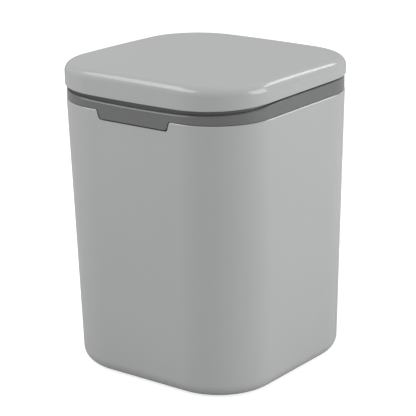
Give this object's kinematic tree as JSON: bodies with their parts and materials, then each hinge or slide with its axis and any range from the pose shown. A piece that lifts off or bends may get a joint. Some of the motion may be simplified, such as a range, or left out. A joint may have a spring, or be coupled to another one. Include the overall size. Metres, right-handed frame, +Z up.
{
  "type": "push top countertop bin",
  "caption": "Square countertop bin with rounded corners: tapered bucket, lift-off collar with a front tab, and a flat lid that springs open at a push on its front edge",
  "frame": {"origin": "centre of the bucket's base, on the worktop that the foot pads stand on", "axes": "+Z up; the front, with the tab and the catch, faces -Y; the lid's hinge runs along X at the back"},
  "size_m": [0.1514, 0.1591, 0.2021],
  "materials": {
    "bucket": "light grey, glossy moulding",
    "foot_pads": "soft grey rubber",
    "collar": "mid grey, satin moulding",
    "hinge_pin": "drawn steel",
    "lid_spring": "spring wire",
    "latch_case": "white moulding",
    "latch_moving": "dark moulding",
    "latch_metal": "steel wire, pins and screws",
    "lid_shell": "light grey, glossy moulding",
    "lid_liner": "mid grey, satin moulding",
    "lid_seal": "soft dark rubber",
    "lid_striker": "white moulding"
  },
  "bodies": {
    "bucket": {"bucket": "bucket", "foot_pad_front_left": "foot_pads", "foot_pad_front_right": "foot_pads", "foot_pad_rear_left": "foot_pads", "foot_pad_rear_right": "foot_pads"},
    "collar": {"collar": "collar", "hinge_pin": "hinge_pin", "lid_spring": "lid_spring", "latch_housing": "latch_case", "latch_cap": "latch_case", "latch_screws": "latch_metal", "latch_spring": "latch_metal", "latch_track_pin": "latch_metal"},
    "plunger": {"latch_plunger": "latch_moving", "jaw_pins": "latch_metal"},
    "jaw_left": {"latch_jaw_left": "latch_moving"},
    "jaw_right": {"latch_jaw_right": "latch_moving"},
    "lid": {"lid_shell": "lid_shell", "lid_liner": "lid_liner", "liner_screws": "latch_metal", "lid_seal": "lid_seal", "lid_striker": "lid_striker", "striker_screws": "latch_metal"}
  },
  "joints": [
    {"name": "collar_lift", "type": "slide", "parent": "bucket", "child": "collar", "axis": [0, 0, 1], "range_m": [0, 0.06]},
    {"name": "lid_hinge", "type": "hinge", "parent": "collar", "child": "lid", "pos_m": [0, 0.077, 0.187], "axis": [-1, 0, 0], "range_deg": [-0.5, 85]},
    {"name": "latch_slide", "type": "slide", "parent": "collar", "child": "plunger", "axis": [0, 0, 1], "range_m": [-0.004, 0], "stiffness_N_per_m": 150, "springref_m": 0.004, "deforming": ["latch_spring"]},
    {"name": "jaw_left_swing", "type": "hinge", "parent": "plunger", "child": "jaw_left", "pos_m": [-0.0038, -0.0595, 0.1791], "axis": [0, 1, 0], "range_deg": [0, 16]},
    {"name": "jaw_right_swing", "type": "hinge", "parent": "plunger", "child": "jaw_right", "pos_m": [0.0038, -0.0595, 0.1791], "axis": [0, 1, 0], "range_deg": [-16, 0]}
  ],
  "couplings": [
    {"joint": "jaw_left_swing", "follows": "latch_slide", "rad_per_m": -69.813},
    {"joint": "jaw_right_swing", "follows": "latch_slide", "rad_per_m": 69.813}
  ]
}
